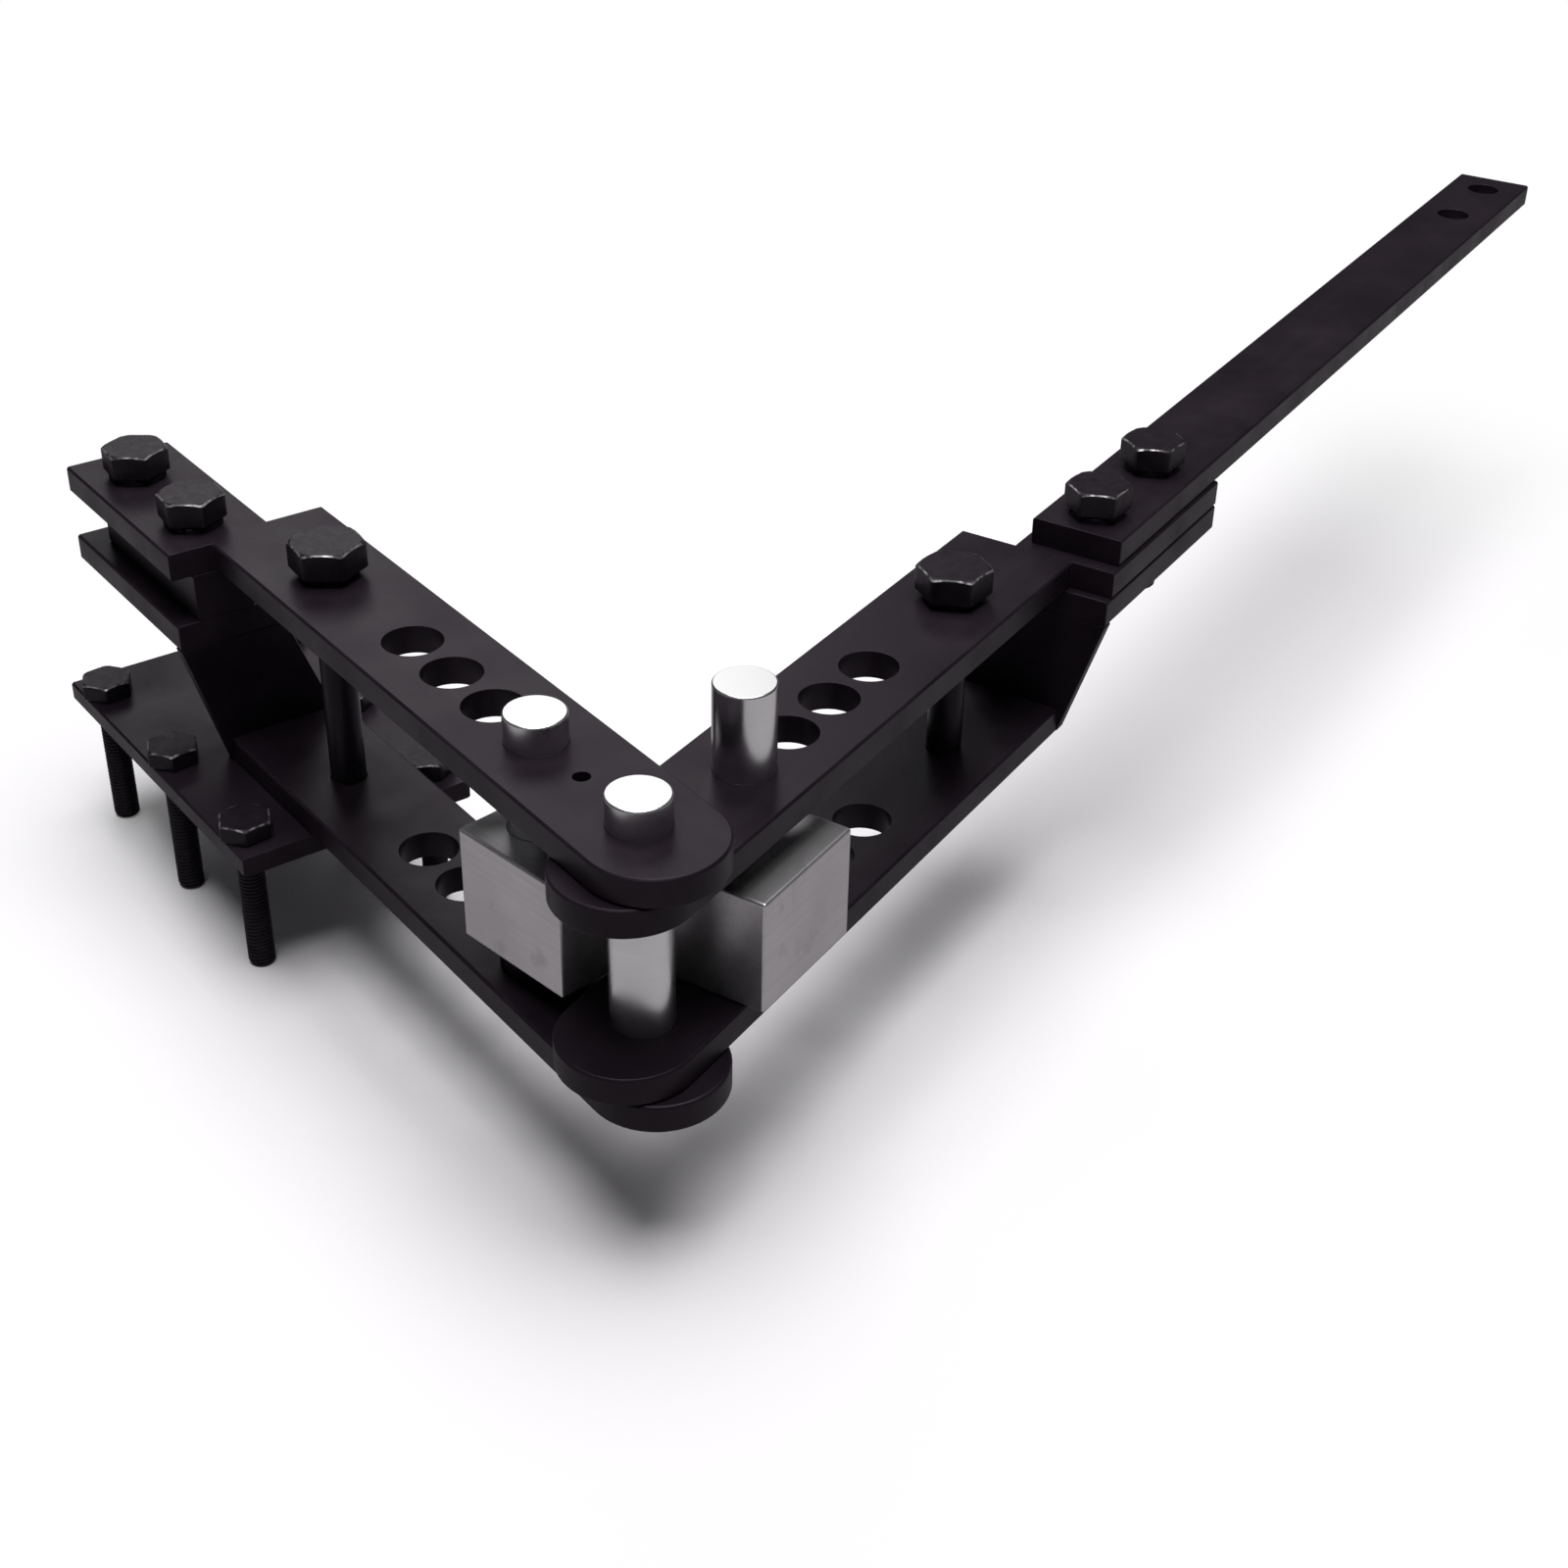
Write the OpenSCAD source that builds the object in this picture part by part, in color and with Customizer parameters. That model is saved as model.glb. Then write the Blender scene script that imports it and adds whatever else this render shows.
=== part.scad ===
// Horizontal bar bender: a fixed frame bolted to a stand, and a frame that swings round its centre pin.
// Origin: middle of the base plate's underside, where the bender meets its stand. +Z is up.
// Each arm has its own frame: x runs out along the arm from the centre pin, outer is the side
// away from the opening between the two arms (+y on the fixed arm, -y on the swinging one).

/* [Pins] */
// Diameter of the centre pin and of both die pins
pin_d = 25.4; // [20:0.1:30]
// Radial play of a pin in its hole
pin_play = 0.05; // [0.02:0.01:0.1]
// Height of the centre pin above the fixed top bar
centre_pin_up = 12.7; // [6:0.1:40]
// Height of the fixed die pin above the fixed top bar
main_pin_up = 12.7; // [6:0.1:40]
// Height of the swinging die pin above the swinging top bar
swing_pin_up = 38.1; // [10:0.1:60]
// Chamfer on the ends of the pins
pin_chamfer = 0.6; // [0.4:0.1:2]

/* [Frame bars] */
// Thickness of the flat bar that both frames are made of
bar_t = 12.7; // [9:0.1:16]
// Width of the frame bars
bar_w = 57.15; // [50:0.05:66]
// How far the nose's round centre lies past the centre pin
nose_past = 9.525; // [6:0.005:14]
// Length of the wide part of a frame, from the centre pin
frame_l = 299.5; // [280:0.5:340]
// Broken edge along the flat bars
bar_edge = 0.9; // [0.4:0.1:1.6]
// Vertical play between a swinging bar and the fixed bar beside it
sweep_gap = 0.3; // [0.2:0.05:0.6]
// Clear height between the swinging frame's bars
swing_open = 63.5; // [58:0.1:80]

/* [Pin holes] */
// Distance from the centre pin to the first die pin hole
first_hole = 69.85; // [66:0.05:76]
// Distance from one pin hole to the next
hole_pitch = 31.75; // [29:0.05:36]
// Number of pin holes along each arm, the die pin's own included
hole_count = 4; // [2:1:4]
// Distance from the centre pin to the small hole in the fixed top bar
oil_hole_at = 38.1; // [28:0.1:44]
// Diameter of the small hole
oil_hole_d = 7; // [5:0.1:10]

/* [Tails] */
// Width of the tails
tail_w = 50.8; // [46:0.1:58]
// How far a tail reaches past the arm's centre line towards the inside
tail_in = 1.4; // [0:0.1:6]
// Distance from the far bolt to the end of the fixed tail
main_tail_end = 27.7; // [26:0.1:60]
// Distance from the far bolt to the end of the swinging tail
swing_tail_end = 30.2; // [16:0.1:70]
// How far the fixed tail laps back along the wide part
main_tail_lap = 7; // [2:0.5:12]
// How far the swinging tail laps back along the wide part
swing_tail_lap = 1; // [1:0.5:12]
// Thickness of the upright end plates
end_plate_t = 6.35; // [5:0.05:8]
// Distance from the foot of an end plate's inner face to the end of the wide top bar
end_inset = 2; // [1:0.1:4]
// Lean of the fixed end plate back over its bar, in degrees
main_end_lean = 6; // [0:0.5:8]
// Lean of the swinging end plate back over its bar, in degrees
swing_end_lean = 4; // [0:0.5:8]
// Height of the spacer bar between the fixed tails
spacer_h = 22.2; // [16:0.1:30]
// Width of the spacer bar
spacer_w = 27; // [24:0.5:34]
// How far the spacer bar stays short of the end of the fixed tail
spacer_short = 15; // [2:0.5:16]

/* [Large bolts] */
// Shank diameter of the large bolts
bolt_d = 16; // [12:0.1:18]
// Width across the flats of the tail and handle bolts' heads
bolt_af = 27; // [25:0.1:32]
// Height of a tail or handle bolt's head
bolt_head_h = 11.5; // [9:0.1:14]
// Width across the flats of a frame bolt's head
frame_head_af = 30; // [27:0.1:34]
// Height of a frame bolt's head
frame_head_h = 12.5; // [10:0.1:18]
// Thickness of a spring washer
washer_t = 3.2; // [2:0.1:4]
// Outer diameter of a spring washer
washer_d = 26; // [24:0.1:28]
// Width of the slanting split in a spring washer
washer_split = 2.2; // [1:0.1:4]
// Radial play of a bolt in its hole
bolt_play = 0.3; // [0.1:0.05:0.6]
// Distance from the frame bolt of each arm to the end of the wide part
frame_bolt_back = 61.5; // [40:0.5:74]
// Distance from the end of the wide part to the first fixed tail bolt
main_tail_bolt = 17.5; // [14:0.5:24]
// Distance from the end of the wide part to the first handle bolt
handle_bolt = 27; // [22:0.5:34]
// Distance between the two tail bolts
tail_bolt_pitch = 60.3; // [50:0.1:66]
// Distance of the tail bolts from the arm's centre line
tail_bolt_out = 26; // [22:0.5:28]
// How far the ends of the handle bolts stand out below the swinging tail
handle_bolt_out = 23.5; // [2:0.5:35]

/* [Handle] */
// Length of the handle bar
handle_l = 618; // [500:1:800]
// Width of the handle bar
handle_w = 44.45; // [40:0.05:50.8]
// Distance from the end of the wide part to the near end of the handle
handle_from = 6.5; // [1:0.5:7]
// Diameter of the two spare holes at the far end
handle_hole_d = 19; // [14:0.1:20]
// Distance from the handle's far end to the nearer spare hole
handle_hole_end = 23.4; // [18:0.1:40]

/* [Die blocks] */
// Height of a die block
die_h = 50.8; // [40:0.1:56]
// Fixed block, from its pin's axis to the face towards the centre pin
main_die_near = 39.5; // [32:0.1:40]
// Fixed block, from its pin's axis to the face away from the centre pin
main_die_far = 20; // [19:0.1:28]
// Fixed block, from its pin's axis to its outer face
main_die_out = 24.8; // [20:0.1:30]
// Fixed block, from its pin's axis to its inner face
main_die_in = 24; // [19:0.1:24.5]
// How far the fixed block stands turned from its arm, in degrees
main_die_turn = 8.5; // [6:0.1:10]
// Swinging block, from its pin's axis to the face towards the centre pin
swing_die_near = 42.5; // [32:0.1:43]
// Swinging block, from its pin's axis to the face away from the centre pin
swing_die_far = 20.5; // [19:0.1:28]
// Swinging block, from its pin's axis to its outer face
swing_die_out = 37; // [28:0.1:40]
// Swinging block, from its pin's axis to its inner face
swing_die_in = 17.8; // [16.5:0.1:18]
// Broken edges of the die blocks
die_edge = 0.9; // [0.4:0.1:2]
// Outer diameter of the collar under the fixed block
collar_d = 37; // [33:0.5:38]

/* [Base] */
// Distance from the end bolts to the ends of the base plate
base_end = 19.05; // [15:0.05:40]
// Distance from the bolt rows to the sides of the base plate
base_side = 11; // [9:0.5:30]
// Thickness of the base plate
base_t = 9.5; // [6:0.1:14]
// Distance from the centre pin to the middle of the base plate, along the fixed arm
base_reach = 316.5; // [310:0.5:330]
// How far the base plate's middle lies outside the arm's centre line
base_out = 5; // [0:0.5:10]
// Spacing of the base bolts along the fixed arm
base_bolt_x = 76.2; // [60:0.1:80]
// Room between the inner row's heads and the fixed bottom bar
base_head_gap = 1.325; // [0.2:0.005:6]
// Number of base bolts in a row
base_bolt_count = 3; // [2:1:3]
// Shank diameter of the base bolts
base_bolt_d = 12.7; // [10:0.1:15]
// Width across the flats of the base bolts' heads
base_bolt_af = 22.2; // [19:0.1:23]
// Height of a base bolt's head
base_head_h = 8.5; // [7:0.1:12]
// Length of a base bolt under its head
base_bolt_l = 70; // [50:1:120]
// How far a base bolt's plain shank reaches below the base plate, down to its thread
base_plain_l = 3; // [1:0.5:20]
// How much thinner a base bolt's thread is, on the radius
base_thread_step = 0.25; // [0.2:0.05:0.5]

/* [Pose] */
// Direction of the swinging arm at rest, in degrees from +X
swing_at = 111.1; // [60:0.1:111.5]

/* [Hidden] */
$fn = 96;

black = "#2d2b2e";
bolt_black = "#232224";
bright = "#c9ccd0";

pin_r = pin_d / 2;
pin_hole_r = pin_r + pin_play;
bolt_r = bolt_d / 2;
bolt_hole_r = bolt_r + bolt_play;
thread_r = bolt_r + pin_play;
base_hole_r = base_bolt_d / 2 + bolt_play;
half_bar = bar_w / 2;
eps = 1;

// Heights, from the base plate's underside upwards
main_bottom_z = base_t;
main_floor_z = main_bottom_z + bar_t;
swing_bottom_z = main_floor_z + sweep_gap;
swing_floor_z = swing_bottom_z + bar_t;
swing_top_z = swing_floor_z + swing_open;
swing_deck_z = swing_top_z + bar_t;
main_top_z = swing_deck_z + sweep_gap;
main_deck_z = main_top_z + bar_t;
main_tail_z = main_top_z - spacer_h - bar_t;
swing_tail_z = swing_top_z - bar_t;
handle_top_z = swing_deck_z + bar_t;
die_lift = swing_floor_z + sweep_gap;

// Places along and across an arm
tail_out = tail_w - tail_in;
end_face = frame_l - end_inset;
main_floor_end = end_face + end_plate_t / cos(main_end_lean);
swing_floor_end = end_face + end_plate_t / cos(swing_end_lean);
main_tail_from = end_face - (main_tail_z - main_floor_z) * tan(main_end_lean);
swing_tail_from = end_face - (swing_tail_z - swing_floor_z) * tan(swing_end_lean);
main_tail_bolts_at = [for (i = [0:1]) frame_l + main_tail_bolt + i * tail_bolt_pitch];
main_tail_to = main_tail_bolts_at[1] + main_tail_end;
frame_bolt_at = frame_l - frame_bolt_back;
handle_bolts_at = [for (i = [0:1]) frame_l + handle_bolt + i * tail_bolt_pitch];
swing_tail_to = handle_bolts_at[1] + swing_tail_end;
pin_places = [for (i = [0:hole_count - 1]) first_hole + i * hole_pitch];
handle_at = frame_l + handle_from;
handle_holes = [for (i = [0:1]) handle_at + handle_l - handle_hole_end - i * tail_bolt_pitch];
inner_row = half_bar + base_bolt_af / 2 + base_head_gap;
base_bolt_y = 2 * (inner_row + base_out);
base_l = (base_bolt_count - 1) * base_bolt_x + 2 * base_end;
base_w = base_bolt_y + 2 * base_side;
base_bolt_places = [
    for (i = [0:base_bolt_count - 1], j = [-1, 1])
        [(i - (base_bolt_count - 1) / 2) * base_bolt_x, j * base_bolt_y / 2]
];

// Flats of the heads, turned as they stand in the photograph
main_head_turn = 175;
swing_head_turn = -6;
base_head_turn = 36;

module on_main() {
    translate([base_reach, base_out, 0]) rotate(180) children();
}

module on_swing() {
    translate([base_reach, base_out, 0]) rotate(swing_at) children();
}

// Outline of a bar's section with its four edges broken
module bar_section(from_y, to_y, t, edge) {
    polygon([
        [from_y + edge, 0], [to_y - edge, 0], [to_y, edge], [to_y, t - edge],
        [to_y - edge, t], [from_y + edge, t], [from_y, t - edge], [from_y, edge]
    ]);
}

// A flat bar along x, with its long edges broken
module flat_bar(from_x, to_x, from_y, to_y, t, edge = bar_edge) {
    translate([from_x, 0, 0]) rotate([90, 0, 90])
        linear_extrude(to_x - from_x) bar_section(from_y, to_y, t, edge);
}

// The wide part of a frame bar, with its round nose beyond the centre pin
module nosed_bar(to_x) {
    flat_bar(-nose_past, to_x, -half_bar, half_bar, bar_t);
    translate([-nose_past, 0, 0]) rotate_extrude()
        polygon([
            [0, 0], [half_bar - bar_edge, 0], [half_bar, bar_edge],
            [half_bar, bar_t - bar_edge], [half_bar - bar_edge, bar_t], [0, bar_t]
        ]);
}

// side is 1 on the fixed arm and -1 on the swinging one, where the outside is -y
module tail_bar(from_x, to_x, side) {
    flat_bar(from_x, to_x, side > 0 ? -tail_in : -tail_out, side > 0 ? tail_out : tail_in, bar_t);
}

module hole(x, y, r, t = bar_t) {
    translate([x, y, -eps]) cylinder(h = t + 2 * eps, r = r);
}

// frame_bolt_r is the frame bolt's hole: wide in a top bar, close in the bottom bar it screws into
module bar_holes(frame_bolt_r) {
    hole(0, 0, pin_hole_r);
    for (x = pin_places) hole(x, 0, pin_hole_r);
    hole(frame_bolt_at, 0, frame_bolt_r);
}

module top_bar(tail_to, lap, side, bolts_at) {
    difference() {
        union() {
            nosed_bar(frame_l);
            tail_bar(frame_l - lap, tail_to, side);
        }
        bar_holes(bolt_hole_r);
        for (x = bolts_at) hole(x, side * tail_bolt_out, bolt_hole_r);
    }
}

module bottom_bar(to_x) {
    difference() {
        nosed_bar(to_x);
        bar_holes(thread_r);
    }
}

// Upright plate that joins a bottom bar to its tail. Its sides slant outwards with height
// and the whole plate leans back over the bar by the angle lean.
module end_plate(h, lean, side) {
    from_y = side > 0 ? -tail_in : -tail_out;
    intersection() {
        rotate([0, -lean, 0]) translate([0, -bar_w, -end_plate_t])
            cube([end_plate_t, 2 * bar_w, h + 2 * bar_t]);
        rotate([90, 0, 90]) translate([0, 0, -bar_w]) linear_extrude(2 * bar_w)
            polygon([[-half_bar, 0], [half_bar, 0], [from_y + tail_w, h], [from_y, h]]);
    }
}

module lower_tail(from_x, to_x, side, bolts_at, hole_r) {
    difference() {
        tail_bar(from_x, to_x, side);
        for (x = bolts_at) hole(x, side * tail_bolt_out, hole_r);
    }
}

// Hexagon head with the corners of its top turned off
module hex_head(af, h) {
    corner_r = af * 0.6;
    face_r = af * 0.485;
    drop = (corner_r - face_r) * tan(25);
    intersection() {
        cylinder(h = h, r = af / sqrt(3), $fn = 6);
        rotate_extrude()
            polygon([[0, 0], [corner_r, 0], [corner_r, h - drop], [face_r, h], [0, h]]);
    }
}

// A shank hanging from z = 0, with its end chamfered
module shank(r, l) {
    c = r / 8;
    translate([0, 0, -l]) rotate_extrude()
        polygon([[0, 0], [r - c, 0], [r, c], [r, l + eps], [0, l + eps]]);
}

module hex_bolt(r, l, af, head_h) {
    hex_head(af, head_h);
    shank(r, l);
}

// Spring washer: a ring with a slanting split
module spring_washer(turn = 0) {
    rotate(turn) difference() {
        cylinder(h = washer_t, d = washer_d);
        translate([0, 0, -eps]) cylinder(h = washer_t + 2 * eps, r = bolt_hole_r);
        translate([bolt_hole_r - eps, -washer_split / 2, -eps])
            cube([washer_d / 2, washer_split, washer_t + 2 * eps]);
    }
}

// A frame bolt, screwed into the bottom bar so that its end is flush with the bar's underside
module frame_bolt(seat_z, low_z, turn) {
    translate([frame_bolt_at, 0, seat_z + washer_t]) rotate(turn)
        hex_bolt(bolt_r, seat_z + washer_t - low_z, frame_head_af, frame_head_h);
}

// Tail bolts with their heads on spring washers at seat_z and their ends at low_z
module tail_bolts(bolts_at, side, seat_z, low_z, turn) {
    for (x = bolts_at)
        translate([x, side * tail_bolt_out, seat_z + washer_t]) rotate(turn)
            hex_bolt(bolt_r, seat_z + washer_t - low_z, bolt_af, bolt_head_h);
}

module tail_washers(bolts_at, side, seat_z) {
    for (x = bolts_at) translate([x, side * tail_bolt_out, seat_z]) spring_washer(side * x);
}

module pin(low_z, high_z) {
    c = pin_chamfer;
    translate([0, 0, low_z]) rotate_extrude()
        polygon([
            [0, 0], [pin_r - c, 0], [pin_r, c],
            [pin_r, high_z - low_z - c], [pin_r - c, high_z - low_z], [0, high_z - low_z]
        ]);
}

// A block with all its edges broken and a pin hole right through
module die_block(low_x, high_x, low_y, high_y) {
    difference() {
        intersection() {
            flat_bar(low_x, high_x, low_y, high_y, die_h, die_edge);
            rotate([90, 0, 0]) translate([0, 0, -high_y]) linear_extrude(high_y - low_y)
                bar_section(low_x, high_x, die_h, die_edge);
            translate([low_x, 0, 0]) linear_extrude(die_h) translate([-low_x, low_y])
                bar_section(low_x, high_x, high_y - low_y, die_edge);
        }
        hole(0, 0, pin_hole_r, die_h);
    }
}

module base_plate() {
    color(black) difference() {
        translate([-base_l / 2, 0, 0]) flat_bar(0, base_l, -base_w / 2, base_w / 2, base_t);
        for (p = base_bolt_places) hole(p.x, p.y, base_hole_r, base_t);
    }
}

// The inner row's heads have a flat along the bar beside them. The thread is slightly thinner
// than the plain shank above it.
module base_bolts() {
    plain_l = base_t + base_plain_l;
    color(bolt_black) for (p = base_bolt_places)
        translate([p.x, p.y, base_t]) rotate(p.y < 0 ? base_head_turn : 0) {
            hex_bolt(base_bolt_d / 2 - base_thread_step, base_bolt_l, base_bolt_af, base_head_h);
            translate([0, 0, -plain_l]) cylinder(h = plain_l + eps, d = base_bolt_d);
        }
}

module main_top_bar() {
    color(black) on_main() translate([0, 0, main_top_z]) difference() {
        top_bar(main_tail_to, main_tail_lap, 1, main_tail_bolts_at);
        hole(oil_hole_at, 0, oil_hole_d / 2);
    }
}

module main_bottom_bar() {
    color(black) on_main() translate([0, 0, main_bottom_z]) bottom_bar(main_floor_end);
}

module main_end_plate() {
    color(black) on_main() translate([end_face, 0, main_floor_z])
        end_plate(main_tail_z - main_floor_z, main_end_lean, 1);
}

module main_tail_bar() {
    color(black) on_main() translate([0, 0, main_tail_z])
        lower_tail(main_tail_from, main_tail_to, 1, main_tail_bolts_at, thread_r);
}

module main_tail_spacer() {
    color(black) on_main() translate([0, 0, main_top_z - spacer_h]) difference() {
        flat_bar(
            main_tail_from, main_tail_to - spacer_short,
            tail_bolt_out - spacer_w / 2, tail_bolt_out + spacer_w / 2, spacer_h
        );
        for (x = main_tail_bolts_at) hole(x, tail_bolt_out, bolt_hole_r, spacer_h);
    }
}

module main_frame_bolt() {
    color(bolt_black) on_main() frame_bolt(main_deck_z, main_bottom_z, main_head_turn);
}

module main_frame_washer() {
    color(bolt_black) on_main() translate([frame_bolt_at, 0, main_deck_z]) spring_washer(main_head_turn);
}

module main_tail_bolts() {
    color(bolt_black) on_main()
        tail_bolts(main_tail_bolts_at, 1, main_deck_z, main_tail_z, main_head_turn);
}

module main_tail_washers() {
    color(bolt_black) on_main() tail_washers(main_tail_bolts_at, 1, main_deck_z);
}

// Lifts the fixed block clear of the swinging bottom bar, which sweeps under it
module die_collar() {
    color(black) on_main() translate([first_hole, 0, main_floor_z]) difference() {
        cylinder(h = die_lift - main_floor_z, d = collar_d);
        hole(0, 0, pin_hole_r, die_lift - main_floor_z);
    }
}

module main_die_block() {
    color(bright) on_main() translate([first_hole, 0, die_lift]) rotate(main_die_turn)
        die_block(-main_die_near, main_die_far, -main_die_in, main_die_out);
}

module main_die_pin() {
    color(bright) on_main() translate([first_hole, 0, 0]) pin(main_bottom_z, main_deck_z + main_pin_up);
}

module centre_pin() {
    color(bright) on_main() pin(main_bottom_z, main_deck_z + centre_pin_up);
}

module swing_top_bar() {
    color(black) on_swing() translate([0, 0, swing_top_z])
        top_bar(swing_tail_to, swing_tail_lap, -1, handle_bolts_at);
}

module swing_bottom_bar() {
    color(black) on_swing() translate([0, 0, swing_bottom_z]) bottom_bar(swing_floor_end);
}

module swing_end_plate() {
    color(black) on_swing() translate([end_face, 0, swing_floor_z])
        end_plate(swing_tail_z - swing_floor_z, swing_end_lean, -1);
}

module swing_tail_bar() {
    color(black) on_swing() translate([0, 0, swing_tail_z])
        lower_tail(swing_tail_from, swing_tail_to, -1, handle_bolts_at, thread_r);
}

module swing_frame_bolt() {
    color(bolt_black) on_swing() frame_bolt(swing_deck_z, swing_bottom_z, swing_head_turn);
}

module swing_frame_washer() {
    color(bolt_black) on_swing() translate([frame_bolt_at, 0, swing_deck_z]) spring_washer(swing_head_turn);
}

module handle_bar() {
    color(black) on_swing() translate([0, 0, swing_deck_z]) difference() {
        flat_bar(
            handle_at, handle_at + handle_l,
            -tail_bolt_out - handle_w / 2, handle_w / 2 - tail_bolt_out, bar_t
        );
        for (x = handle_bolts_at) hole(x, -tail_bolt_out, bolt_hole_r);
        for (x = handle_holes) hole(x, -tail_bolt_out, handle_hole_d / 2);
    }
}

module handle_bolts() {
    color(bolt_black) on_swing() tail_bolts(
        handle_bolts_at, -1, handle_top_z, swing_tail_z - handle_bolt_out, swing_head_turn
    );
}

module handle_washers() {
    color(bolt_black) on_swing() tail_washers(handle_bolts_at, -1, handle_top_z);
}

module swing_die_block() {
    color(bright) on_swing() translate([first_hole, 0, swing_floor_z])
        die_block(-swing_die_near, swing_die_far, -swing_die_out, swing_die_in);
}

module swing_die_pin() {
    color(bright) on_swing() translate([first_hole, 0, 0])
        pin(swing_bottom_z, swing_deck_z + swing_pin_up);
}

base_plate();
base_bolts();
main_top_bar();
main_bottom_bar();
main_end_plate();
main_tail_bar();
main_tail_spacer();
main_frame_bolt();
main_frame_washer();
main_tail_bolts();
main_tail_washers();
die_collar();
main_die_block();
main_die_pin();
centre_pin();
swing_top_bar();
swing_bottom_bar();
swing_end_plate();
swing_tail_bar();
swing_frame_bolt();
swing_frame_washer();
handle_bar();
handle_bolts();
handle_washers();
swing_die_block();
swing_die_pin();
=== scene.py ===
"""Looks for the bar bender: softened bars, threaded bolts, materials, floor, light and camera."""

import math

import bmesh
import bpy
from mathutils import Matrix, Vector


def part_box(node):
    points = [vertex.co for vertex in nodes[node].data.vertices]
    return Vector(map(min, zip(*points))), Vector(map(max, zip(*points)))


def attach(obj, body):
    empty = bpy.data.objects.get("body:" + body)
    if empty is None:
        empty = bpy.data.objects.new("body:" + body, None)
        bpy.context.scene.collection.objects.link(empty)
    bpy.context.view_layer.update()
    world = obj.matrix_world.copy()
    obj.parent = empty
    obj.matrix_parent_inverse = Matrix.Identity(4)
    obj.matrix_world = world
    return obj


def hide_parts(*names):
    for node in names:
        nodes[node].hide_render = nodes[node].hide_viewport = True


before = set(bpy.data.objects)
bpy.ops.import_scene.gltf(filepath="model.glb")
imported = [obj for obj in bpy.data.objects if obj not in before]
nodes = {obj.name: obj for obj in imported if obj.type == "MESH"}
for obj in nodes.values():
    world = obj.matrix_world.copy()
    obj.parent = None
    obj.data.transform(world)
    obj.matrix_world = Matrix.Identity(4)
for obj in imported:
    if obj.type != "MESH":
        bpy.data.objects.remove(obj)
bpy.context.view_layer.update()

# Camera, in metres and radians; its focal length and the photograph's side are in pixels, and
# the sensor's width in millimetres
CAMERA_AT = (0.888717, -0.370228, 0.574711)
CAMERA_YAW = -0.914771
CAMERA_PITCH = 0.565072
CAMERA_ROLL = 0.02125
CAMERA_FOCAL = 2325.456
PHOTO_SIDE = 1600
SENSOR = 36.0

# Directions in which the arms run out from the centre pin, and the turn of the main die block
# on its pin
MAIN_TURN = math.pi
SWING_TURN = math.radians(111.1)
MAIN_DIE_TURN = math.radians(8.5)

# The end plates: how far they lean back, how far short of the bar's lower face a foot ends, and
# how far above a plate's lowest point its foot's points can be
MAIN_END_LEAN = math.radians(6)
SWING_END_LEAN = math.radians(4)
FOOT_SHORT = 0.00015
FOOT_BAND = 0.0001

# Rounding of the edges, in metres, and the angle between faces from which an edge is rounded
BAR_EDGE = 0.0005
PIN_EDGE = 0.0002
HARD_ANGLE = math.radians(28)

# Points of a CAD mesh nearer than this are one (metres), and faces flatter than this are joined
MERGE_WITHIN = 2e-6
FLAT_ANGLE = math.radians(0.4)

# Built meshes: edges from this angle on are drawn sharp, and faces this level aren't shaded smooth
SHARP_ANGLE = math.radians(24)
LEVEL = 0.9995

# Large bolts, in metres; AF is the width across a head's flats, and tail bolts are the pairs on
# the main tail and on the handle
BOLT_R = 0.008
BOLT_PITCH = 0.002
BOLT_THREAD_DEPTH = 0.0007
FRAME_HEAD_AF = 0.030
TAIL_HEAD_AF = 0.027
TAIL_SPACING = 0.0603

# Spring washers, in metres and radians: radius, play on the bolt, the wire's share of the whole
# height, gap between its ends, turn of the first washer, turn from one to the next
WASHER_R = 0.013
WASHER_PLAY = 0.0003
WASHER_WIRE = 0.80
WASHER_GAP = 0.16
WASHER_TURN = 2.4
WASHER_TURN_STEP = 2.1
WASHER_STEPS = 64

# Base bolts, in metres; BASE_PLAIN is the length of the shank above the thread
BASE_R = 0.00635
BASE_THREAD_R = 0.0062
BASE_THREAD_DEPTH = 0.0006
BASE_PITCH = 0.00195
BASE_PLAIN = 0.0125
BASE_AF = 0.0222
BASE_X = (-0.0762, 0.0, 0.0762)
BASE_Y = 0.046

# How the heads' flats are turned in the photograph; those of the base's inner row aren't
HEAD_TURN_MAIN = math.radians(175)
HEAD_TURN_SWING = math.radians(-6)
HEAD_TURN_BASE = math.radians(36)

# Form of a head: points round it, its corners' reach as a share of a sharp hexagon's, its top
# face, seat and middle as shares of the width across flats, and the slope of its turned-off corners
HEAD_SIDES = 96
HEAD_CORNER = 0.985
HEAD_FACE = 0.505
HEAD_SEAT = 0.47
HEAD_MIDDLE = 0.15
HEAD_SLOPE = math.radians(27)

# Small steps of a head, in metres: height of its washer face, its low edge inwards and upwards,
# width of its worn edge, and the edge of its top face
HEAD_LIFT = 0.0005
HEAD_LOW_EDGE = 0.0002
HEAD_LOW_RISE = 0.0003
HEAD_WORN = 0.0008
HEAD_FACE_EDGE = 0.0003

# Shanks and threads: points round them, one turn of a thread as shares of (pitch, depth), how far
# its tip is cut back as a share of the depth, the tip's slope, and a small edge in metres
SHANK_SIDES = 48
THREAD_SIDES = 36
THREAD_PROFILE = ((0.0, 1.0), (0.12, 1.0), (0.46, 0.0), (0.62, 0.0))
TIP_CUT = 1.5
TIP_SLOPE = 0.9
SMALL_EDGE = 0.0002

# Colours of the black paint on the bars: two shades, streaks along the bar, rubbed edges
PAINT_DARK = (0.0085, 0.0055, 0.0090)
PAINT_LIGHT = (0.0150, 0.0102, 0.0155)
PAINT_STREAK = (0.026, 0.020, 0.027)
PAINT_RUBBED = (0.075, 0.066, 0.075)

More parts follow.
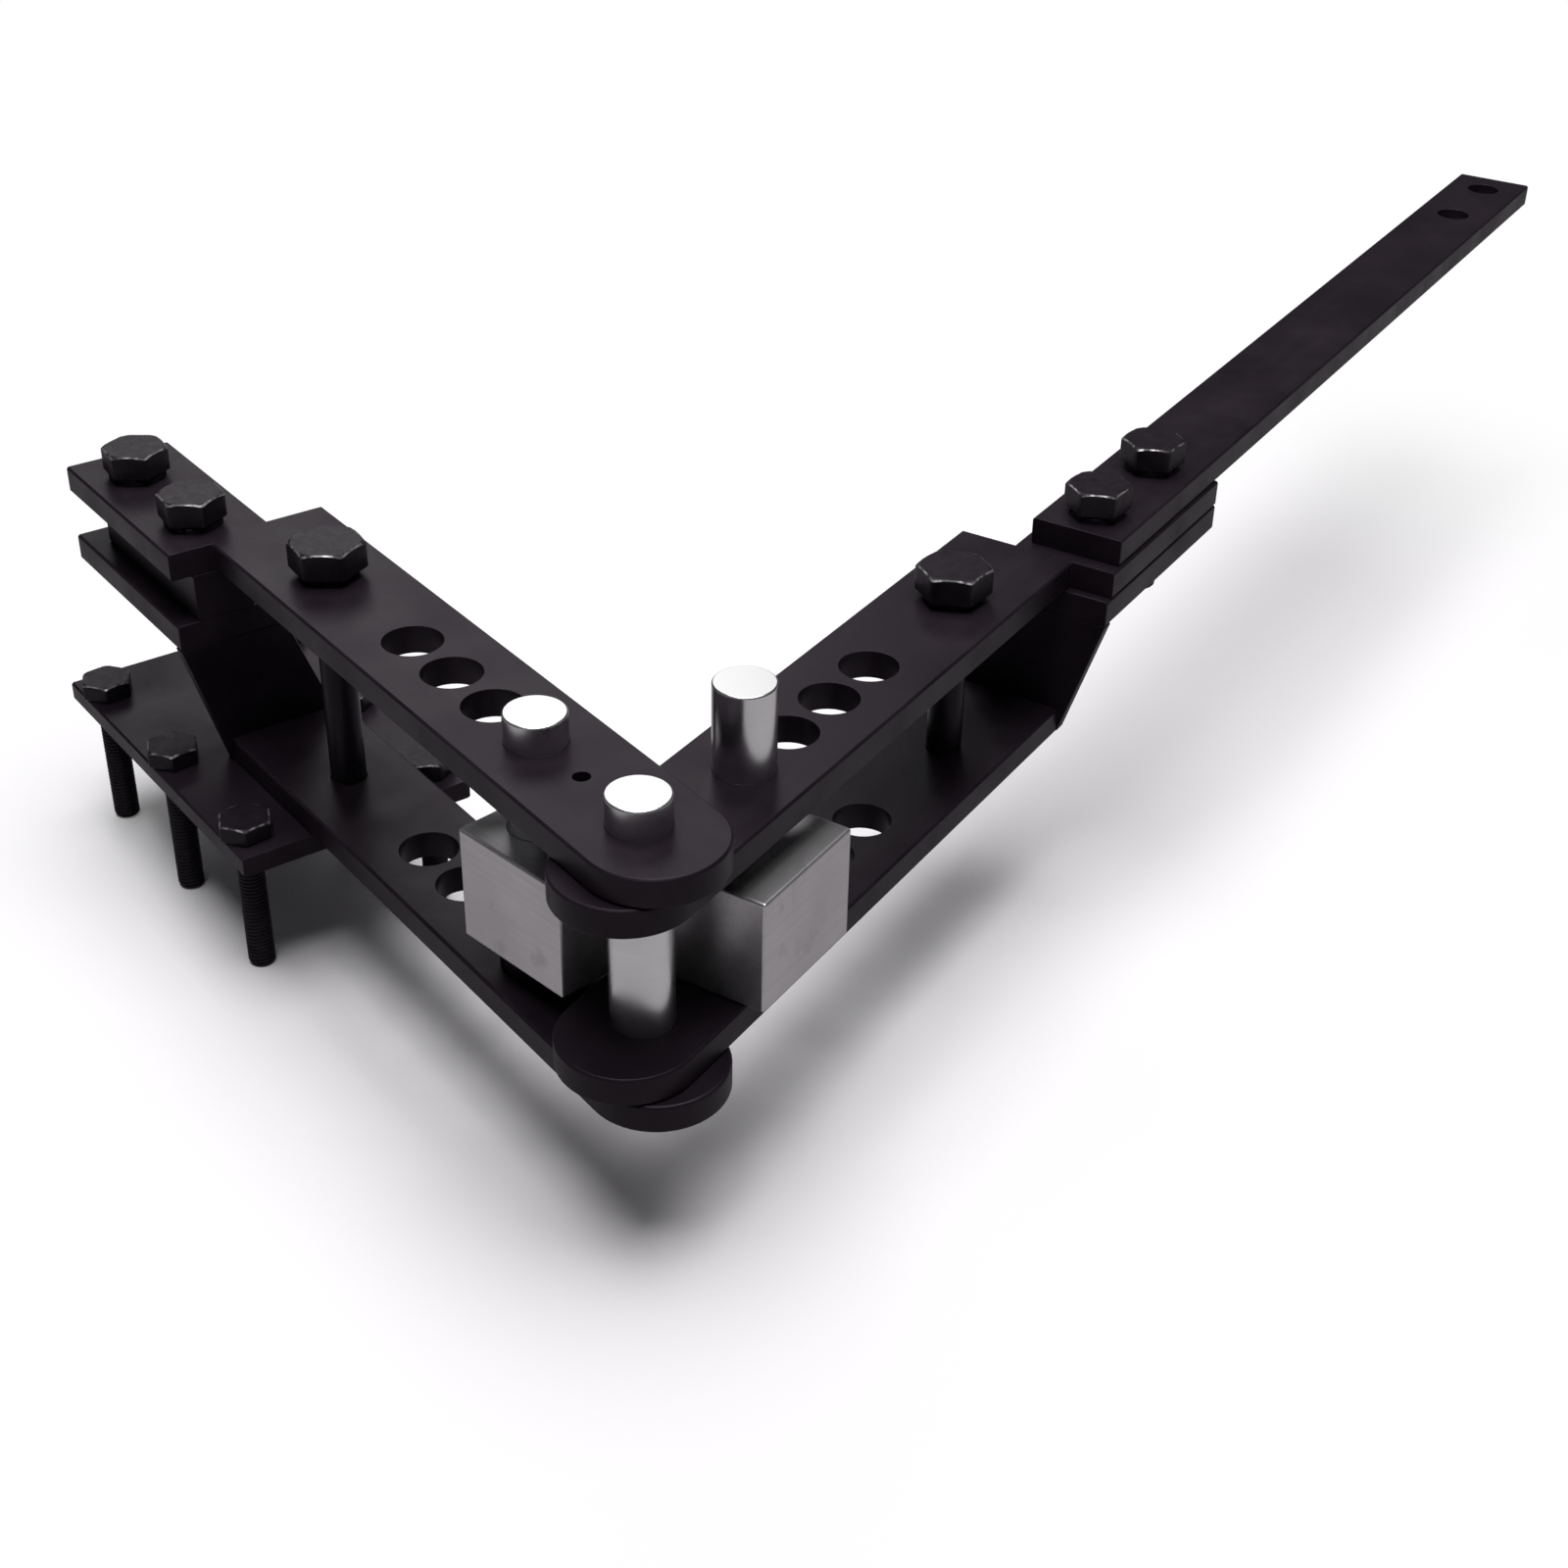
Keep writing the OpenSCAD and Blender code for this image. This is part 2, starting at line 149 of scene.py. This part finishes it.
# Colours of the blackened fasteners: two shades, paler edges (partly wear, partly a painted
# highlight), and the worn edge of a head
OXIDE_DARK = (0.0085, 0.0060, 0.0090)
OXIDE_LIGHT = (0.017, 0.0125, 0.0175)
OXIDE_EDGE_WEAR_AND_HIGHLIGHT = (0.16, 0.145, 0.16)
WORN_BLACK = (0.02, 0.017, 0.02)
WORN_BARE = (0.42, 0.40, 0.42)

# Colours of the ground die blocks: two shades, grinding lines, smears with their turn in radians
GROUND_DARK = (0.56, 0.545, 0.56)
GROUND_LIGHT = (0.70, 0.685, 0.70)
GROUND_LINE = (0.42, 0.41, 0.42)
GROUND_SMEAR = (0.22, 0.21, 0.215)
SMEAR_TURN = 0.5

# Colours of the turned pins: two shades and rings from the lathe
TURNED_DARK = (0.80, 0.80, 0.805)
TURNED_LIGHT = (0.90, 0.90, 0.90)
TURNED_RING = (0.62, 0.62, 0.62)

# Floor, in metres: half its side, how far it lies below the base bolts, its colour for the camera
# and for all other rays, and how far from a middle it starts and ends to fade to white
FLOOR_SIDE = 12.0
FLOOR_BELOW = 0.0005
FLOOR_PALE = (0.96, 0.94, 0.96, 1)
FLOOR_GREY = (0.36, 0.345, 0.36, 1)
FADE_CENTRE = (0.14, 0.30)
FADE_FROM = 0.37
FADE_TO = 0.70

# Light: the world's dim colour, and lamps as name, place, aim, diameter in metres, power in watts
WORLD_COLOUR = (0.96, 0.95, 1.0, 1)
WORLD_STRENGTH = 0.07
LAMPS = (
    ("overhead", (0.24, 0.25, 3.2), (0.24, 0.25, 0), 3.0, 118),
    ("front", (0.82, -0.70, 2.28), (0.2, 0.25, 0.05), 0.5, 4.5),
    ("behind", (-2.16, 1.11, 1.87), (0.2, 0.25, 0.05), 1.8, 10.5),
)


def make_camera():
    """Camera with the photograph's place, direction and focal length (in pixels of its width)."""
    cos_pitch = math.cos(CAMERA_PITCH)
    forward = Vector((math.sin(CAMERA_YAW) * cos_pitch, math.cos(CAMERA_YAW) * cos_pitch,
                      -math.sin(CAMERA_PITCH)))
    level = Vector((math.cos(CAMERA_YAW), -math.sin(CAMERA_YAW), 0))
    upright = level.cross(forward)
    right = math.cos(CAMERA_ROLL) * level + math.sin(CAMERA_ROLL) * upright
    up = math.cos(CAMERA_ROLL) * upright - math.sin(CAMERA_ROLL) * level
    data = bpy.data.cameras.new("camera")
    data.sensor_width = SENSOR
    data.sensor_fit = "HORIZONTAL"
    data.lens = CAMERA_FOCAL / PHOTO_SIDE * SENSOR
    data.clip_start = 0.01
    data.clip_end = 50
    camera = add_object("camera", data)
    turn = Matrix((right, up, -forward)).transposed().to_4x4()
    camera.matrix_world = Matrix.Translation(CAMERA_AT) @ turn
    bpy.context.scene.camera = camera


class Tree:
    """A node tree, with short calls for making and joining its nodes."""

    def __init__(self, tree):
        self.tree = tree

    def node(self, kind, inputs=None, **settings):
        """A new node; inputs holds, by socket name or number, a value or another node's output."""
        made = self.tree.nodes.new(kind)
        for name, value in settings.items():
            setattr(made, name, value)
        for key, value in (inputs or {}).items():
            self.feed(value, made.inputs[key])
        return made

    def feed(self, value, socket):
        """Links another node's output to a socket, or sets a plain value on it."""
        if isinstance(value, bpy.types.NodeSocket):
            self.link(value, socket)
        else:
            socket.default_value = value

    def link(self, source, target):
        self.tree.links.new(source, target)


class Shader(Tree):
    """A piece's material, with short calls for the textures used here."""

    def __init__(self, name):
        self.material = bpy.data.materials.new(name)
        self.material.use_nodes = True
        super().__init__(self.material.node_tree)
        self.surface = self.tree.nodes["Principled BSDF"]
        self.place = self.node("ShaderNodeTexCoord").outputs["Object"]

    def noise(self, scale, detail, stretch=(1, 1, 1), turn=0.0):
        """Noise over the object's own coordinates; turn and stretch draw it out along a bar."""
        turned = self.node("ShaderNodeMapping", {"Rotation": (0, 0, turn), "Vector": self.place},
                           vector_type="TEXTURE")
        drawn = self.node("ShaderNodeVectorMath", {0: turned.outputs["Vector"], 1: stretch},
                          operation="MULTIPLY")
        made = self.node("ShaderNodeTexNoise", {"Scale": scale, "Detail": detail,
                                                "Roughness": 0.55, "Vector": drawn.outputs[0]})
        return made.outputs["Fac"]

    def ramp(self, source, *stops):
        """Colours or greys between stops of (position, value)."""
        made = self.node("ShaderNodeValToRGB", {"Fac": source})
        points = made.color_ramp.elements
        while len(points) < len(stops):
            points.new(0.5)
        for point, (position, value) in zip(points, stops):
            point.position = position
            point.color = (*value, 1) if isinstance(value, tuple) else (value, value, value, 1)
        return made.outputs["Color"]

    def mix(self, share, low, high):
        """Colour mix; each of the three is a socket or a value."""
        low, high = [(*c, 1) if isinstance(c, tuple) else c for c in (low, high)]
        made = self.node("ShaderNodeMix", data_type="RGBA")
        for index, value in ((0, share), (6, low), (7, high)):
            self.feed(value, made.inputs[index])
        return made.outputs[2]

    def calc(self, operation, first, second):
        """Result of a sum or product, held between 0 and 1."""
        made = self.node("ShaderNodeMath", {0: first, 1: second}, operation=operation,
                         use_clamp=True)
        return made.outputs[0]

    def edges(self, radius):
        """1 along the solid's edges, within radius of them, and 0 on its faces."""
        rounded = self.node("ShaderNodeBevel", {"Radius": radius}, samples=6)
        flat = self.node("ShaderNodeNewGeometry")
        dot = self.node("ShaderNodeVectorMath",
                        {0: rounded.outputs["Normal"], 1: flat.outputs["Normal"]},
                        operation="DOT_PRODUCT")
        return self.ramp(dot.outputs["Value"], (0.80, 1.0), (0.985, 0.0))

    def colour(self, source):
        """The surface's own colour."""
        self.link(source, self.surface.inputs["Base Color"])

    def roughness(self, source, low, high):
        """Roughness between two stops of (position, value) of a texture."""
        self.link(self.ramp(source, low, high), self.surface.inputs["Roughness"])

    def relief(self, height, strength, distance):
        """Bumps from a height between 0 and 1, distance metres high."""
        bump = self.node("ShaderNodeBump", {"Strength": strength, "Distance": distance,
                                            "Height": height})
        self.link(bump.outputs["Normal"], self.surface.inputs["Normal"])

    def finish(self, metallic, specular=0.5, tint=(1, 1, 1)):
        """Sets the rest of the surface and hands out the material."""
        self.feed(metallic, self.surface.inputs["Metallic"])
        self.surface.inputs["Specular IOR Level"].default_value = specular
        self.surface.inputs["Specular Tint"].default_value = (*tint, 1)
        return self.material


def black_paint(name, turn):
    """Satin black paint on flat steel bar: faint streaks along the bar, mottling, rubbed edges."""
    s = Shader(name)
    patches = s.noise(scale=26, detail=5)
    streaks = s.noise(scale=34, detail=5, stretch=(0.25, 1.6, 1), turn=turn)
    grain = s.noise(scale=420, detail=3)
    colour = s.ramp(patches, (0.30, PAINT_DARK), (0.72, PAINT_LIGHT))
    colour = s.mix(s.ramp(streaks, (0.50, 0.0), (0.80, 0.4)), colour, PAINT_STREAK)
    spots = s.ramp(s.noise(scale=90, detail=4), (0.40, 0.0), (0.70, 1.0))
    rubbed = s.calc("MULTIPLY", s.edges(radius=0.0009), spots)
    s.colour(s.mix(s.calc("MULTIPLY", rubbed, 0.5), colour, PAINT_RUBBED))
    s.roughness(patches, (0.3, 0.285), (0.72, 0.48))
    height = s.calc("ADD", s.calc("MULTIPLY", patches, 0.6), s.calc("MULTIPLY", grain, 0.4))
    s.relief(height, strength=0.25, distance=0.0004)
    return s.finish(metallic=0.0, specular=0.19, tint=(1, 0.88, 1))


def black_oxide():
    """Blackened steel of the fasteners, a little paler along its edges: partly wear, partly a
    painted highlight.
    """
    s = Shader("black_oxide")
    shade = s.noise(scale=180, detail=4)
    colour = s.ramp(shade, (0.3, OXIDE_DARK), (0.75, OXIDE_LIGHT))
    spots = s.ramp(s.noise(scale=160, detail=3), (0.35, 0.25), (0.65, 1.0))
    # Paler colour along every edge: partly rubbed wear, partly a painted highlight that stands in
    # for glints
    wear_and_highlight = s.calc("MULTIPLY", s.edges(radius=0.0006), spots)
    s.colour(s.mix(s.calc("MULTIPLY", wear_and_highlight, 0.6), colour, OXIDE_EDGE_WEAR_AND_HIGHLIGHT))
    s.roughness(s.noise(scale=300, detail=3), (0.3, 0.30), (0.75, 0.44))
    s.relief(s.noise(scale=700, detail=2), strength=0.15, distance=0.0002)
    return s.finish(metallic=0.0, specular=0.19, tint=(1, 0.90, 1))


def worn_edge():
    """Edge round the top of a bolt head, rubbed through to bright steel in places."""
    s = Shader("worn_edge")
    bare = s.ramp(s.noise(scale=230, detail=3), (0.44, 0.0), (0.66, 0.8))
    s.colour(s.mix(bare, WORN_BLACK, WORN_BARE))
    s.roughness(s.noise(scale=400, detail=2), (0.3, 0.30), (0.7, 0.42))
    s.relief(s.noise(scale=800, detail=2), strength=0.1, distance=0.0001)
    return s.finish(metallic=bare, specular=0.3)


def ground_steel(name, turn):
    """Bright ground steel: fine grinding lines along the block and a few soft smears."""
    s = Shader(name)
    lines = s.noise(scale=70, detail=3, stretch=(0.12, 8, 8), turn=turn)
    cloud = s.noise(scale=22, detail=4)
    smear = s.noise(scale=48, detail=5, stretch=(0.7, 2.4, 1), turn=turn + SMEAR_TURN)
    colour = s.mix(s.ramp(cloud, (0.3, 0.0), (0.7, 1.0)), GROUND_DARK, GROUND_LIGHT)
    colour = s.mix(s.ramp(lines, (0.35, 0.0), (0.70, 0.25)), colour, GROUND_LINE)
    s.colour(s.mix(s.ramp(smear, (0.60, 0.0), (0.80, 0.5)), colour, GROUND_SMEAR))
    s.roughness(cloud, (0.25, 0.285), (0.75, 0.37))
    s.relief(lines, strength=0.05, distance=0.0002)
    return s.finish(metallic=0.9)


def turned_steel(name, centre):
    """Bright round bar: faint rings from the lathe on its ends and marks round its side."""
    s = Shader(name)
    shift = s.node("ShaderNodeVectorMath", {0: s.place, 1: (centre[0], centre[1], 0)},
                   operation="SUBTRACT")
    split = s.node("ShaderNodeSeparateXYZ", {0: shift.outputs[0]})
    flat = s.node("ShaderNodeCombineXYZ", {"X": split.outputs["X"], "Y": split.outputs["Y"]})
    reach = s.node("ShaderNodeVectorMath", {0: flat.outputs[0]}, operation="LENGTH")
    along = s.node("ShaderNodeCombineXYZ", {"X": reach.outputs["Value"], "Z": split.outputs["Z"]})
    rings = s.node("ShaderNodeTexNoise", {"Scale": 900, "Detail": 2, "Vector": along.outputs[0]})
    lines = rings.outputs["Fac"]
    cloud = s.noise(scale=60, detail=4)
    colour = s.mix(s.ramp(cloud, (0.3, 0.0), (0.7, 1.0)), TURNED_DARK, TURNED_LIGHT)
    s.colour(s.mix(s.ramp(lines, (0.35, 0.0), (0.7, 0.12)), colour, TURNED_RING))
    s.roughness(cloud, (0.3, 0.225), (0.7, 0.262))
    s.relief(lines, strength=0.008, distance=0.0001)
    return s.finish(metallic=1.0)


def add_object(name, data):
    """A new object of the scene."""
    made = bpy.data.objects.new(name, data)
    bpy.context.scene.collection.objects.link(made)
    return made


def add_piece(name, mesh, materials, body, replaced):
    """A piece of the visual that rides on a body and is shown instead of a CAD node."""
    made = add_object(name, mesh)
    for material in materials:
        mesh.materials.append(material)
    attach(made, body)
    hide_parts(replaced)
    return made


def reach_down(bm, bar, turn, lean):
    """Carries an end plate's foot down over the end of its bottom bar."""
    low = min(v.co.z for v in bm.verts)
    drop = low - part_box(bar)[0].z - FOOT_SHORT
    slope = math.tan(lean)
    step = Vector((math.cos(turn) * slope, math.sin(turn) * slope, -1)) * drop
    for v in bm.verts:
        if v.co.z < low + FOOT_BAND:
            v.co += step


def soften(node, body, material, width=BAR_EDGE, foot=None):
    """A copy of a CAD node with every hard edge rounded to width, shown in its place.

    foot is an end plate's bottom bar, turn and lean, for its foot to reach down.
    """
    bm = bmesh.new()
    bm.from_mesh(nodes[node].data)
    bmesh.ops.remove_doubles(bm, verts=bm.verts, dist=MERGE_WITHIN)
    bmesh.ops.dissolve_limit(bm, angle_limit=FLAT_ANGLE, verts=bm.verts, edges=bm.edges)
    if foot:
        reach_down(bm, *foot)
    hard = [e for e in bm.edges if len(e.link_faces) == 2 and e.calc_face_angle(0) > HARD_ANGLE]
    bmesh.ops.bevel(bm, geom=hard, offset=width, offset_type="OFFSET", segments=2, profile=0.5,
                    affect="EDGES", clamp_overlap=True)
    for face in bm.faces:
        face.smooth = True
    mesh = bpy.data.meshes.new(f"{node}_softened")
    bm.to_mesh(mesh)
    bm.free()
    made = add_piece(f"{node}_softened", mesh, [material], body, node)
    modifier = made.modifiers.new("flat_faces", "WEIGHTED_NORMAL")
    modifier.weight = 80


class Lathe:
    """Rings of points round an upright axis, joined into one closed skin from bottom to top."""

    def __init__(self, sides):
        self.sides = sides
        self.rings = []

    def ring(self, height, radius):
        """Adds a ring; height and radius are numbers or functions of the angle."""
        points = []
        for i in range(self.sides):
            angle = 2 * math.pi * i / self.sides
            r = radius(angle) if callable(radius) else radius
            z = height(angle) if callable(height) else height
            points.append((r * math.cos(angle), r * math.sin(angle), z))
        self.rings.append(points)

    def write(self, bm, place, wear_and_highlight=()):
        """Writes the skin; worn holds the numbers of the bands that take the second material."""
        rows = [[bm.verts.new(place @ Vector(p)) for p in ring] for ring in self.rings]
        for number, (low, high) in enumerate(zip(rows, rows[1:])):
            for i in range(self.sides):
                j = (i + 1) % self.sides
                face = bm.faces.new((low[i], low[j], high[j], high[i]))
                face.material_index = 1 if number in wear_and_highlight else 0
        bm.faces.new(list(reversed(rows[0])))
        bm.faces.new(rows[-1])


def hex_radius(across, angle):
    """Reach of a hexagon with slightly worn corners, at an angle from one of its corners."""
    turned = (angle % (math.pi / 3)) - math.pi / 6
    return min(across / 2 / math.cos(turned), across / math.sqrt(3) * HEAD_CORNER)


def head(bm, place, across, height):
    """Hexagon head on a washer face, its top corners turned off and its top edge worn."""
    face_r = across * HEAD_FACE
    slope = math.tan(HEAD_SLOPE)

    def side(angle):
        return hex_radius(across, angle)

    def cone(radius):
        return height - max(0.0, radius - face_r) * slope

    shape = Lathe(HEAD_SIDES)
    shape.ring(0, across * HEAD_SEAT)
    shape.ring(HEAD_LIFT, across * HEAD_SEAT)
    shape.ring(HEAD_LIFT, lambda a: side(a) - HEAD_LOW_EDGE)
    shape.ring(HEAD_LIFT + HEAD_LOW_RISE, side)
    shape.ring(lambda a: cone(side(a)) - HEAD_WORN / 2, side)
    worn_band = len(shape.rings) - 1
    shape.ring(lambda a: cone(side(a) - HEAD_WORN), lambda a: side(a) - HEAD_WORN)
    shape.ring(height, lambda a: min(face_r, side(a) - HEAD_WORN) - HEAD_FACE_EDGE)
    shape.ring(height, across * HEAD_MIDDLE)
    shape.write(bm, place, wear_and_highlight=(worn_band,))


def shank(bm, place, radius, length):
    """Plain round shank from the seat downwards."""
    shape = Lathe(SHANK_SIDES)
    shape.ring(-length, radius - SMALL_EDGE)
    shape.ring(-length + SMALL_EDGE, radius)
    shape.ring(0, radius)
    shape.write(bm, place)


def thread(bm, place, crest, depth, pitch, top, length):
    """Helical thread from top downwards, its lower end turned to a cone."""
    sides = THREAD_SIDES
    turns = math.ceil(length / pitch) + 2
    low = top - length
    tip_r = crest - depth * TIP_CUT
    grid = []
    for i in range(sides):
        angle = 2 * math.pi * i / sides
        column = []
        for turn in range(-1, turns):
            for share, cut in THREAD_PROFILE:
                z = low + pitch * (turn + i / sides + share)
                r = min(crest - cut * depth, tip_r + (z - low) * TIP_SLOPE)
                if z > top:
                    z, r = top, crest - depth
                if z < low:
                    z, r = low, tip_r
                at = Vector((r * math.cos(angle), r * math.sin(angle), z))
                column.append(bm.verts.new(place @ at))
        grid.append(column)
    rows = len(grid[0])
    step = len(THREAD_PROFILE)
    for i in range(sides):
        j = (i + 1) % sides
        for k in range(rows - 1):
            lift = step if j == 0 else 0
            if k + 1 + lift < rows:
                bm.faces.new((grid[i][k], grid[j][k + lift], grid[j][k + 1 + lift],
                              grid[i][k + 1]))
    tip = Lathe(sides)
    tip.ring(low, tip_r)
    tip.ring(low + SMALL_EDGE, tip_r)
    tip.write(bm, place)


def split_washer(bm, place, inner, outer, height):
    """Spring washer: a square wire wound just under one turn, so that its ends stand apart."""
    thick = height * WASHER_WIRE
    edge = SMALL_EDGE
    grid = []
    for i in range(WASHER_STEPS + 1):
        share = i / WASHER_STEPS
        angle = WASHER_GAP / 2 + share * (2 * math.pi - WASHER_GAP)
        rise = (height - thick) * share
        section = ((inner, 0), (outer - edge, 0), (outer, edge), (outer, thick - edge),
                   (outer - edge, thick), (inner, thick))
        points = [Vector((r * math.cos(angle), r * math.sin(angle), rise + z)) for r, z in section]
        grid.append([bm.verts.new(place @ point) for point in points])
    for a, b in zip(grid, grid[1:]):
        for k in range(len(a)):
            n = (k + 1) % len(a)
            bm.faces.new((a[k], b[k], b[n], a[n]))
    bm.faces.new(grid[0])
    bm.faces.new(list(reversed(grid[-1])))


def mesh_from(bm, name):
    """Mesh of the built pieces, smooth but for its level faces and its sharp edges."""
    bmesh.ops.recalc_face_normals(bm, faces=bm.faces)
    for face in bm.faces:
        face.smooth = abs(face.normal.z) < LEVEL
    for edge in bm.edges:
        edge.smooth = edge.calc_face_angle(0) < SHARP_ANGLE
    mesh = bpy.data.meshes.new(name)
    bm.to_mesh(mesh)
    bm.free()
    return mesh


def middle(name):
    """Middle of a CAD node's box."""
    low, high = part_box(name)
    return (low + high) / 2


def heights(name):
    """Lowest and highest point of a CAD node."""
    low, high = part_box(name)
    return low.z, high.z


def standing(x, y, height, turn):
    """Place of an upright piece over a point, turned about its own axis."""
    return Matrix.Translation((x, y, height)) @ Matrix.Rotation(turn, 4, "Z")


def arm_bolts(node, washer, bar, body, materials, turn, steps, across, head_turn):
    """An arm's bolts and their spring washers, with heads, shanks and threads in full.

    They are screwed into bar, and steps are their distances along the arm from their middle.
    A head's flats are turned against the arm by head_turn. The washers show no worn edges.
    """
    low, top = heights(node)
    washer_low, seat = heights(washer)
    thread_top = heights(bar)[1]
    centre = middle(node)
    bolts = bmesh.new()
    washers = bmesh.new()
    for number, step in enumerate(steps):
        x = centre.x + math.cos(turn) * step
        y = centre.y + math.sin(turn) * step
        place = standing(x, y, seat, turn + head_turn)
        head(bolts, place, across, top - seat)
        shank(bolts, place, BOLT_R, seat - thread_top)
        thread(bolts, place, BOLT_R, BOLT_THREAD_DEPTH, BOLT_PITCH, thread_top - seat,
               thread_top - low)
        rest = standing(x, y, washer_low, turn + WASHER_TURN + WASHER_TURN_STEP * number)
        split_washer(washers, rest, BOLT_R + WASHER_PLAY, WASHER_R, seat - washer_low)
    add_piece(f"{node}_threaded", mesh_from(bolts, node), materials, body, node)
    add_piece(f"{washer}_split", mesh_from(washers, washer), materials[:1], body,
              washer)


def base_bolts(materials):
    """The six bolts of the base, their threads running down below the plate."""
    low, top = heights("base_bolts")
    seat = heights("base_plate")[1]
    bm = bmesh.new()
    for x in BASE_X:
        for y, head_turn in ((-BASE_Y, HEAD_TURN_BASE), (BASE_Y, 0.0)):
            place = standing(x, y, seat, head_turn)
            head(bm, place, BASE_AF, top - seat)
            shank(bm, place, BASE_R, BASE_PLAIN)
            thread(bm, place, BASE_THREAD_R, BASE_THREAD_DEPTH, BASE_PITCH, -BASE_PLAIN,
                   seat - low - BASE_PLAIN)
    add_piece("base_bolts_threaded", mesh_from(bm, "base_bolts"), materials,
              "main_frame", "base_bolts")


def make_stage(level):
    """Pale floor that turns white away from the object, keeps its shadow and is clear from below.

    The object itself sees it as mid grey, so the sides of its bars stay dark.
    """
    side = FLOOR_SIDE
    mesh = bpy.data.meshes.new("floor")
    mesh.from_pydata([(-side, -side, level), (side, -side, level), (side, side, level),
                      (-side, side, level)], [], [(0, 1, 2, 3)])
    floor = add_object("floor", mesh)
    material = bpy.data.materials.new("floor")
    material.use_nodes = True
    t = Tree(material.node_tree)
    t.tree.nodes.remove(t.tree.nodes["Principled BSDF"])

    place = t.node("ShaderNodeTexCoord")
    reach = t.node("ShaderNodeVectorMath", {0: place.outputs["Object"], 1: (*FADE_CENTRE, level)},
                   operation="DISTANCE")
    far = t.node("ShaderNodeMapRange", {"From Min": FADE_FROM, "From Max": FADE_TO,
                                        "Value": reach.outputs["Value"]})
    pale = t.node("ShaderNodeBsdfDiffuse", {"Color": FLOOR_PALE})
    white = t.node("ShaderNodeEmission")
    fading = t.node("ShaderNodeMixShader", {0: far.outputs["Result"], 1: pale.outputs[0],
                                            2: white.outputs[0]})
    grey = t.node("ShaderNodeBsdfDiffuse", {"Color": FLOOR_GREY})
    rays = t.node("ShaderNodeLightPath")
    seen = t.node("ShaderNodeMixShader", {0: rays.outputs["Is Camera Ray"], 1: grey.outputs[0],
                                          2: fading.outputs[0]})
    facing = t.node("ShaderNodeNewGeometry")
    clear = t.node("ShaderNodeBsdfTransparent")
    one_sided = t.node("ShaderNodeMixShader", {0: facing.outputs["Backfacing"],
                                               1: seen.outputs[0], 2: clear.outputs[0]})
    t.link(one_sided.outputs[0], t.tree.nodes["Material Output"].inputs["Surface"])
    mesh.materials.append(material)


def area_lamp(name, at, towards, size, power):
    """Round lamp at a place, turned towards another."""
    data = bpy.data.lights.new(name, "AREA")
    data.shape = "DISK"
    data.size = size
    data.energy = power
    lamp = add_object(name, data)
    lamp.location = at
    lamp.rotation_euler = (Vector(towards) - Vector(at)).to_track_quat("-Z", "Y").to_euler()


def make_light():
    """Dim world that the camera sees as white, and the lamps."""
    world = bpy.data.worlds.new("studio")
    bpy.context.scene.world = world
    world.use_nodes = True
    t = Tree(world.node_tree)
    dim = t.tree.nodes["Background"]
    dim.inputs["Color"].default_value = WORLD_COLOUR
    dim.inputs["Strength"].default_value = WORLD_STRENGTH
    white = t.node("ShaderNodeBackground", {"Color": (1, 1, 1, 1), "Strength": 1.0})
    rays = t.node("ShaderNodeLightPath")
    seen = t.node("ShaderNodeMath", {0: rays.outputs["Is Camera Ray"],
                                     1: rays.outputs["Is Transmission Ray"]},
                  operation="MAXIMUM")
    choice = t.node("ShaderNodeMixShader", {0: seen.outputs[0], 1: dim.outputs[0],
                                            2: white.outputs[0]})
    t.link(choice.outputs[0], t.tree.nodes["World Output"].inputs["Surface"])
    for lamp in LAMPS:
        area_lamp(*lamp)


make_camera()
main_paint = black_paint("black_paint_main", MAIN_TURN)
swing_paint = black_paint("black_paint_swing", SWING_TURN)
oxide = [black_oxide(), worn_edge()]
feet = {"main_end_plate": ("main_bottom_bar", MAIN_TURN, MAIN_END_LEAN),
        "swing_end_plate": ("swing_bottom_bar", SWING_TURN, SWING_END_LEAN)}
for node in ("base_plate", "main_top_bar", "main_bottom_bar", "main_end_plate", "main_tail_bar",
             "main_tail_spacer", "die_collar"):
    soften(node, "main_frame", main_paint, foot=feet.get(node))
for node in ("swing_top_bar", "swing_bottom_bar", "swing_end_plate", "swing_tail_bar",
             "handle_bar"):
    soften(node, "swing_frame", swing_paint, foot=feet.get(node))
soften("main_die_block", "main_die_block",
       ground_steel("ground_steel_main", MAIN_TURN + MAIN_DIE_TURN))
soften("swing_die_block", "swing_die_block", ground_steel("ground_steel_swing", SWING_TURN))
for pin in ("centre_pin", "main_die_pin", "swing_die_pin"):
    soften(pin, pin, turned_steel(f"turned_steel_{pin}", middle(pin)), PIN_EDGE)

one = (0,)
pair = (-TAIL_SPACING / 2, TAIL_SPACING / 2)
base_bolts(oxide)
arm_bolts("main_frame_bolt", "main_frame_washer", "main_bottom_bar", "main_frame", oxide,
          MAIN_TURN, one, FRAME_HEAD_AF, HEAD_TURN_MAIN)
arm_bolts("swing_frame_bolt", "swing_frame_washer", "swing_bottom_bar", "swing_frame", oxide,
          SWING_TURN, one, FRAME_HEAD_AF, HEAD_TURN_SWING)
arm_bolts("main_tail_bolts", "main_tail_washers", "main_tail_bar", "main_frame", oxide,
          MAIN_TURN, pair, TAIL_HEAD_AF, HEAD_TURN_MAIN)
arm_bolts("handle_bolts", "handle_washers", "swing_tail_bar", "swing_frame", oxide,
          SWING_TURN, pair, TAIL_HEAD_AF, HEAD_TURN_SWING)

make_stage(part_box("base_bolts")[0].z - FLOOR_BELOW)
make_light()
bpy.context.scene.view_settings.view_transform = "Standard"
